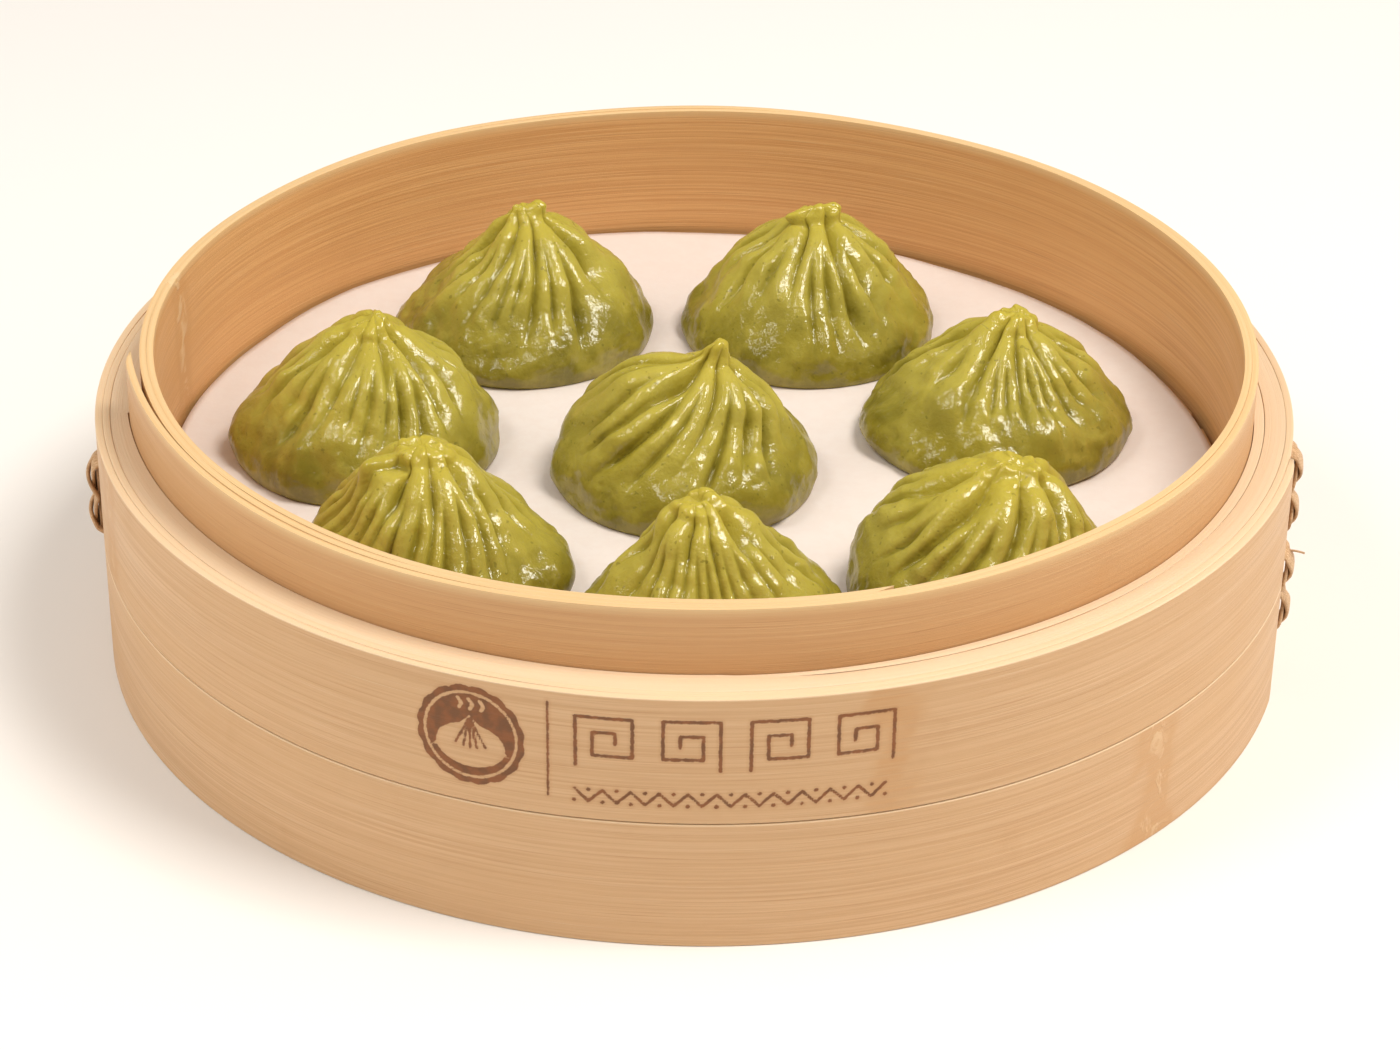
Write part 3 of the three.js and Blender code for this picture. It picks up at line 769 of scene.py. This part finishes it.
# What each dumpling looks like, by node number, in mm and degrees. `full` is how domed the flank
# is, and `swell` adds to it: azimuth, width, amount. `creases` are azimuth, the share of the height
# it reaches down to, and depth, and the unlisted back gets its own. `turn` is how far they swing
# round on their way to the tip, and `first` (or 1) is the first, counted from azimuth 0, that goes
# on over it. `tip` has the radius of its neck and end, the rise above the neck, crater depth, and
# squash towards an azimuth. `lumps` push the skin in or out: azimuth, share of the height, size,
# push. `moves` shift it: place from the foot's centre, size, shift.
DUMPLINGS = {
    1: dict(
        lean=(1.3, 0.5), turn=8, full=0.1, swell=[(0, 60, 0.3), (180, 50, -0.2)], first=0,
        creases=[(-178, 0.45, 0.8), (-158, 0.35, 0.9), (-138, 0.4, 0.8), (-120, 0.3, 0.7),
                 (-107, 0.28, 0.7), (-97, 0.34, 0.8), (-86, 0.22, 1.0), (-74, 0.3, 0.9),
                 (-58, 0.16, 1.1), (-34, 0.45, 0.8), (2, 0.6, 0.7)],
        tip=dict(neck=4.2, end=2.3, rise=2.9, crater=0.0, squash=0.75, azimuth=90),
        lumps=[(-100, 0.22, 2.6, -0.7), (-82, 0.2, 2.2, 0.5), (-60, 0.22, 2.4, -0.6),
               (-120, 0.24, 3.2, 0.5), (-30, 0.4, 5.0, 0.8)],
        moves=[((0.0, -1.0, 26.5), 2.6, (-1.9, 0, -0.2))]),
    2: dict(
        lean=(2.0, 0.0), turn=-8, full=0.45, swell=[(180, 50, -0.1)], first=0,
        creases=[(-172, 0.5, 0.6), (-149, 0.3, 0.9), (-124, 0.45, 0.8), (-103, 0.5, 0.7),
                 (-88, 0.2, 1.0), (-76, 0.2, 0.9), (-63, 0.24, 1.0), (-48, 0.4, 0.8),
                 (-22, 0.45, 0.7)],
        tip=dict(neck=4.0, end=3.1, rise=3.4, crater=0.4, squash=0.6, azimuth=90),
        lumps=[(-112, 0.42, 2.4, -0.9), (-70, 0.16, 3.0, -0.4), (-84, 0.24, 2.2, 0.5),
               (-140, 0.3, 3.2, -0.5), (-40, 0.3, 2.6, 0.5)],
        moves=[((-1.2, -1.0, 26.2), 2.3, (-3.4, -1.0, -0.9))]),
    3: dict(
        lean=(1.7, 0.5), turn=10, full=0.4, swell=[(-60, 40, 0.1)],
        creases=[(-178, 0.4, 0.8), (-163, 0.35, 0.9), (-149, 0.42, 0.8), (-135, 0.3, 0.9),
                 (-117, 0.42, 0.8), (-101, 0.45, 0.8), (-90, 0.3, 1.0), (-80, 0.34, 0.9),
                 (-71, 0.2, 1.1), (-60, 0.22, 1.0), (-48, 0.32, 0.9), (-33, 0.4, 0.8),
                 (-12, 0.5, 0.8)],
        tip=dict(neck=5.0, end=3.5, rise=2.6, crater=0.0, squash=0.9, azimuth=0),
        lumps=[(-108, 0.3, 2.6, -0.9), (-120, 0.33, 2.2, 0.8), (-100, 0.14, 3.0, -0.6),
               (-118, 0.14, 2.6, 0.7), (-84, 0.16, 2.4, -0.6), (-150, 0.2, 4.0, -0.6)]),
    4: dict(
        lean=(5.8, 0.5), turn=32, full=0.35, swell=[(176, 62, 0.85)],
        creases=[(170, 0.55, 1.1), (-172, 0.42, 1.4), (-157, 0.34, 1.5), (-140, 0.24, 1.4),
                 (-122, 0.3, 1.1), (-104, 0.4, 0.7), (-85, 0.2, 1.5), (-68, 0.34, 0.9),
                 (-51, 0.3, 0.9), (-32, 0.42, 0.7), (-6, 0.5, 0.7)],
        tip=dict(neck=3.5, end=1.9, rise=3.6, crater=0.0, squash=0.6, azimuth=90),
        lumps=[(-150, 0.2, 4.0, -0.5), (-60, 0.14, 2.5, -0.4), (-100, 0.24, 3.2, 0.4)],
        moves=[((-8.0, -1.0, 17.0), 8.5, (-1.0, 0, 4.2)), ((5.4, 0, 26.0), 2.2, (0.3, 0, 0.6))]),
    5: dict(
        lean=(3.0, 1.0), turn=-10, full=0.3, swell=[(0, 50, 0.3)], first=0,
        creases=[(-172, 0.6, 0.7), (-140, 0.5, 0.8), (-110, 0.42, 1.3), (-97, 0.4, 0.8),
                 (-86, 0.36, 0.8), (-75, 0.3, 0.9), (-66, 0.34, 0.9), (-57, 0.3, 0.9),
                 (-46, 0.34, 0.9), (-34, 0.4, 0.8), (-20, 0.4, 0.8)],
        tip=dict(neck=4.6, end=3.3, rise=3.4, crater=0.2, squash=0.85, azimuth=90),
        lumps=[(-84, 0.16, 3.0, -0.7), (-64, 0.14, 3.0, 0.5), (-100, 0.2, 2.2, 0.4),
               (-160, 0.86, 3.4, 1.4), (-130, 0.5, 5.0, 0.5)]),
    6: dict(
        lean=(-0.8, 1.0), turn=14, full=0.45, swell=[(0, 60, -0.45)],
        creases=[(168, 0.3, 1.0), (-178, 0.15, 0.9), (-165, 0.1, 1.0), (-153, 0.12, 0.9),
                 (-142, 0.1, 1.0), (-130, 0.16, 0.9), (-117, 0.2, 0.9), (-103, 0.3, 0.9),
                 (-92, 0.16, 1.2), (-82, 0.24, 1.0), (-70, 0.14, 1.2), (-56, 0.2, 0.9),
                 (-42, 0.34, 0.8)],
        tip=dict(neck=5.4, end=3.7, rise=2.4, crater=0.3, squash=0.8, azimuth=90),
        lumps=[(-104, 0.3, 2.0, 0.5), (-12, 0.22, 8.0, 1.5)],
        moves=[((-4.6, -3.2, 22.4), 1.5, (2.0, 1.6, -1.6)),
               ((-8.2, -2.0, 20.6), 2.6, (-1.6, -0.8, 2.6))]),
    7: dict(
        lean=(-2.5, 0.5), turn=-4, full=0.15, swell=[(180, 60, -0.45)],
        creases=[(-176, 0.5, 0.7), (-152, 0.4, 0.9), (-133, 0.3, 0.8), (-118, 0.32, 0.9),
                 (-106, 0.28, 0.9), (-96, 0.26, 0.9), (-87, 0.24, 1.1), (-78, 0.3, 0.9),
                 (-68, 0.28, 0.9), (-57, 0.3, 0.9), (-44, 0.36, 0.8), (-26, 0.5, 0.7)],
        tip=dict(neck=5.2, end=3.3, rise=3.2, crater=1.0, squash=0.8, azimuth=60),
        lumps=[(-168, 0.4, 6.0, 1.5), (-135, 0.42, 4.0, 0.7), (-20, 0.36, 5.0, 1.2),
               (-50, 0.4, 2.6, 0.5)],
        moves=[((-4.0, 0, 26.5), 1.8, (-0.9, 0.3, -0.8))]),
    8: dict(
        lean=(4.4, 0.5), turn=26, full=0.65, swell=[(176, 60, 0.45)],
        creases=[(174, 0.55, 0.9), (-168, 0.4, 1.0), (-154, 0.35, 1.2), (-138, 0.3, 0.9),
                 (-121, 0.14, 1.3), (-103, 0.22, 1.0), (-88, 0.24, 1.0), (-75, 0.3, 0.9),
                 (-64, 0.3, 0.9), (-52, 0.34, 0.9), (-38, 0.34, 0.9), (-20, 0.45, 0.8)],
        tip=dict(neck=6.4, end=4.4, rise=2.0, crater=0.1, squash=0.8, azimuth=90),
        lumps=[(-112, 0.3, 3.0, 0.6), (-150, 0.25, 4.0, -0.5)]),
}


def tip_outline(tip, height):
    """From the neck up and over the rounded end: radius and height in mm."""
    low, neck, end = height - tip["rise"], tip["neck"], tip["end"]
    return [(neck, low), (0.55 * neck + 0.45 * end, low + 0.32 * tip["rise"]),
            (end, low + 0.64 * tip["rise"]), (0.78 * end, low + 0.87 * tip["rise"]),
            (0.42 * end, height - 0.06 * end), (0.2 * end, height - 0.6 * tip["crater"]),
            (0.02, height - tip["crater"])]


def all_creases(spec, rng):
    """The listed creases and those of the unlisted back, in order of azimuth. Columns: azimuth,
    lowest share of the height, depth, and the amount and phase of its sideways sway."""
    listed = sorted((azimuth % 360, reach, depth) for azimuth, reach, depth in spec["creases"])
    azimuths = [crease[0] for crease in listed]
    gaps = np.diff(azimuths + [azimuths[0] + 360])
    widest = int(np.argmax(gaps))
    count = int(round(gaps[widest] / BACK_SPACING)) - 1
    for i in range(count):
        place = azimuths[widest] + gaps[widest] * (i + 1 + rng.uniform(-0.25, 0.25)) / (count + 1)
        listed.append((place % 360, rng.uniform(0.15, 0.5), rng.uniform(0.7, 1.15)))
    sway = [(rng.uniform(-5.0, 5.0), rng.uniform(0, 2 * np.pi)) for _ in listed]
    return np.hstack([sorted(listed), sway])


def folds(azimuth, level, reach, creases, rng):
    """Folds that lap over their neighbours, with a sharp crease between one and the next. For
    each point: its lift in mm, and how far out of the crease it is, from 0 to 1."""
    place, lowest, depth, sway, phase = creases.T
    count = len(place)
    skew, size = rng.uniform(0.9, 1.9, count), rng.uniform(0.7, 1.2, count)
    lift, raised = np.zeros_like(azimuth), np.ones_like(azimuth)
    for row, h in enumerate(level):
        line = np.sort(place + sway * np.sin(4.5 * h + phase) * (1 - min(h, 1)))
        turned = (azimuth[row] - line[0]) % 360
        edges = np.append(line - line[0], 360.0)
        k = np.clip(np.searchsorted(edges, turned, side="right") - 1, 0, count - 1)
        width = edges[k + 1] - edges[k]
        across = ((turned - edges[k]) / width) ** skew[k]
        strength = depth * smoothstep(lowest - 0.06, lowest + 0.26, h)
        strength = strength * (1 + 0.25 * np.sin(11 * h + 2 * phase))
        cut = np.where(across < 0.5, strength[k], strength[(k + 1) % count])
        rounded = (1 - np.abs(2 * across - 1) ** 2.6) ** 0.65
        girth = np.radians(width) * np.maximum(reach[row], 0.6)
        deepest = np.minimum(PLEAT_DEPTH, PLEAT_GIRTH_SHARE * girth)
        swelling = 0.32 * size[k] * rounded * smoothstep(0.3, 0.7, h)
        lift[row] = deepest * (swelling - cut * (1 - rounded))
        raised[row] = 1 - (1 - rounded) * np.clip(cut, 0, 1)
    return lift, raised


def smooth_skin(spec, azimuth, up, radius, height):
    """The dumpling before it is pleated: rows of points from the foot up, in mm."""
    full = spec["full"] + 0.12 * ripples(toward(azimuth, 0 * azimuth), 1.6, spec["seed"])
    for towards, width, amount in spec["swell"]:
        full = full + amount * bell(angle_off(azimuth, towards), width)
    body = np.minimum(up[:, 0] / NECK, 1)
    tent, dome = (smooth_curve(outline, body)[:, None, :] for outline in (TENT, DOME))
    blend = tent + (dome - tent) * full[..., None]
    tip = spec["tip"]
    tip_curve = smooth_curve(tip_outline(tip, height), (up[:, 0] - NECK) / (1 - NECK))
    neck_fade = smoothstep(0.5, 1.0, body)[:, None]
    reach = blend[..., 0] * radius + (tip["neck"] - TENT[-1][0] * radius) * neck_fade
    rise = blend[..., 1] * (height - tip["rise"]) / TENT[-1][1]
    reach = np.where(up <= NECK, reach, tip_curve[:, None, 0])
    rise = np.where(up <= NECK, rise, tip_curve[:, None, 1])
    share = np.clip(rise / height, 0, 1)
    turned = azimuth + spec["turn"] * smoothstep(0.15, 0.95, share)
    squash = 1 - (1 - tip["squash"]) * smoothstep(NECK - 0.1, NECK + 0.06, up)
    flat, angle = math.radians(tip["azimuth"]), np.radians(turned)
    along, aside = reach * np.cos(angle - flat) * squash, reach * np.sin(angle - flat)
    lean = share ** 2.2
    skin = np.stack([along * math.cos(flat) - aside * math.sin(flat) + spec["lean"][0] * lean,
                     along * math.sin(flat) + aside * math.cos(flat) + spec["lean"][1] * lean,
                     rise], -1)
    return skin, reach, share


def pleats(spec, azimuth, level, share, reach):
    """The pleats' lift in mm, and how far out of the creases each point is. Near the top they
    gather into a few broad ridges, which run on over the tip."""
    rng = np.random.default_rng(spec["seed"])
    creases = all_creases(spec, rng)
    fine, fine_raised = folds(azimuth, level, reach, creases, rng)
    first = spec.get("first", 1)
    broad, broad_raised = folds(azimuth, level, reach, creases[first::GATHER], rng)
    gather = smoothstep(0.62, 0.84, share)
    lift = (fine + (broad - fine) * gather) * (1 - 0.7 * smoothstep(*TIP_SHARE, share))
    return lift, fine_raised + (broad_raised - fine_raised) * gather


def skin_bumps(skin, share, seed):
    """Lift in mm of the skin's dents and bumps: wrinkles on the tip, soft dents on the flank,
    and fine bumps where it is wet, low down."""
    tip = 0.5 * ripples(skin, 4.5, seed + 4) + 0.16 * ripples(skin, 2.1, seed + 6)
    wet = smoothstep(0.2, 1.0, ripples(skin, 11, seed + 7)) * bell(share - 0.22, 0.14)
    flank = (0.6 * ripples(skin, 14, seed + 2) + 0.17 * ripples(skin, 4.8, seed + 3)
             + (0.03 + 0.09 * wet) * ripples(skin, 1.9, seed + 5))
    on_flank = smoothstep(0.0, 0.12, share) * smoothstep(0.95, 0.6, share)
    return tip * smoothstep(*TIP_SHARE, share) + flank * on_flank


def dumpling(number):
    node, spec = f"dumpling_{number}", dict(DUMPLINGS[number], seed=11 * number)
    low, high = box_mm(node)
    centre, height = (low[:2] + high[:2]) / 2, high[2] - low[2] + SINK
    radius = (high[0] - low[0] + high[1] - low[1]) / 4
    columns, rows = int(300 * FINE), int(106 * FINE)
    azimuth = np.broadcast_to(360.0 * np.arange(columns) / columns, (rows, columns))
    up = np.linspace(0, 1, rows)[:, None]
    skin, reach, share = smooth_skin(spec, azimuth, up, radius, height)
    level = share.mean(axis=1)
    lift, raised = pleats(spec, azimuth, level, share, reach)
    lift += skin_bumps(skin, share, spec["seed"])
    for towards, at, size, push in spec["lumps"]:
        row = int(np.argmin(np.abs(level - at)))
        column = int(round((towards % 360) / 360 * columns)) % columns
        lift += push * bell(np.linalg.norm(skin - skin[row, column], axis=-1), size)
    skin = skin + normals_of(skin) * lift[..., None]
    for spot, size, shift in spec.get("moves", []):
        near = bell(np.linalg.norm(skin - spot, axis=-1), size)
        skin += near[..., None] * shift
    skin[..., 2] = np.maximum(skin[..., 2], 0.0)
    skin[0, :, 2] = 0.0

    points = skin.reshape(-1, 3)
    bottom, top, last = len(points), len(points) + 1, (rows - 1) * columns
    faces = grid_faces(rows, columns, False, True)
    faces += [(bottom, (j + 1) % columns, j) for j in range(columns)]
    faces += [(top, last + j, last + (j + 1) % columns) for j in range(columns)]
    points = np.vstack([points, [0, 0, 0], skin[-1].mean(axis=0)])
    points = points + [centre[0], centre[1], low[2] - SINK]
    make_piece(node + "_skin", points, faces, [node], "dough",
               {"fold": np.append(raised.ravel(), [0.5, 0.5]),
                "rise": np.append(share.ravel(), [0, 1])})


def normals_of(grid):
    """Outward normals of a surface given as rows from the foot up and columns around."""
    upward = np.gradient(grid, axis=0)
    sideways = np.roll(grid, -1, axis=1) - np.roll(grid, 1, axis=1)
    normal = np.cross(sideways, upward)
    return normal / np.maximum(np.linalg.norm(normal, axis=-1, keepdims=True), 1e-9)


# ---- Assembly ----

BAMBOO = {  # the face, its light and dark fibres, the sawn edge, and the outward side
    "rim_bamboo": [(212, 158, 100), (220, 169, 111), (204, 149, 92), (224, 192, 142),
                   (201, 160, 116)],
    "band_bamboo": [(208, 166, 121), (224, 186, 144), (190, 144, 98), (230, 203, 166),
                    (208, 168, 124)],
    "cut_bamboo": [(216, 182, 142), (224, 190, 150), (204, 164, 120), (229, 202, 168),
                   (216, 182, 142)],
    "floor_bamboo": [(206, 160, 108), (222, 180, 130), (184, 136, 84), (222, 186, 140),
                     (206, 160, 108)],
}
for slot, colours in BAMBOO.items():
    bamboo_material(slot, *colours)
paper_material()
cane_material()
dough_material()

rim_strip()
band_strip("upper_band_strip", "outer_band_upper", 2)
band_strip("lower_band_strip", "outer_band_lower", 3)
filler_ring()
shim_ring()
support_ring()
for number in range(1, 11):
    floor_slat(number)
for number in (1, 2):
    floor_crossbar(number)

feet = []
for number in DUMPLINGS:
    low, high = box_mm(f"dumpling_{number}")
    feet.append(((low[:2] + high[:2]) / 2, 0.86 * (high[0] - low[0]) / 2))
paper_sheet(feet)

for node in TIES:
    plaited_tie(node)
for number in DUMPLINGS:
    dumpling(number)


# ---- Floor and light ----

def make_floor():
    g = Shader("floor")
    g.finish(Base_Color=(*linear(236, 232, 226), 1.0), Roughness=0.8)
    mesh = bpy.data.meshes.new("floor")
    corners = [(-3, -3), (3, -3), (3, 3), (-3, 3)]
    mesh.from_pydata([(x, y, -0.0001) for x, y in corners], [], [(0, 1, 2, 3)])
    mesh.materials.append(g.material)
    floor = add_object("floor", mesh)


def softbox(name, direction, distance, size, power, blue, glossy=True):
    """A square warm light shining at the basket from `direction`."""
    data = bpy.data.lights.new(name, "AREA")
    data.shape = "SQUARE"
    data.size = size
    data.energy = power
    data.color = (1.0, 0.97, blue)
    light = add_object(name, data)
    way = Vector(direction).normalized()
    light.location = way * distance + Vector((0, 0, 0.04))
    light.rotation_euler = way.to_track_quat("Z", "Y").to_euler()
    light.visible_glossy = glossy


def make_light():
    world = bpy.data.worlds.new("studio")
    world.use_nodes = True
    background = world.node_tree.nodes["Background"]
    background.inputs["Color"].default_value = (1.0, 0.97, 0.94, 1.0)
    background.inputs["Strength"].default_value = 0.48
    bpy.context.scene.world = world
    world.cycles_visibility.glossy = False
    softbox("key", (0.39, -0.18, 0.90), 0.9, 0.32, 6.0, 0.93)
    softbox("second", (-0.46, -0.26, 0.85), 0.9, 0.20, 1.2, 0.93)
    softbox("left_fill", (-0.84, -0.15, 0.55), 1.6, 1.8, 11.5, 0.94, glossy=False)
    softbox("right_fill", (0.94, 0.05, 0.42), 1.6, 1.8, 10.5, 0.94, glossy=False)
    bpy.context.scene.view_settings.view_transform = "Standard"


make_floor()
make_light()
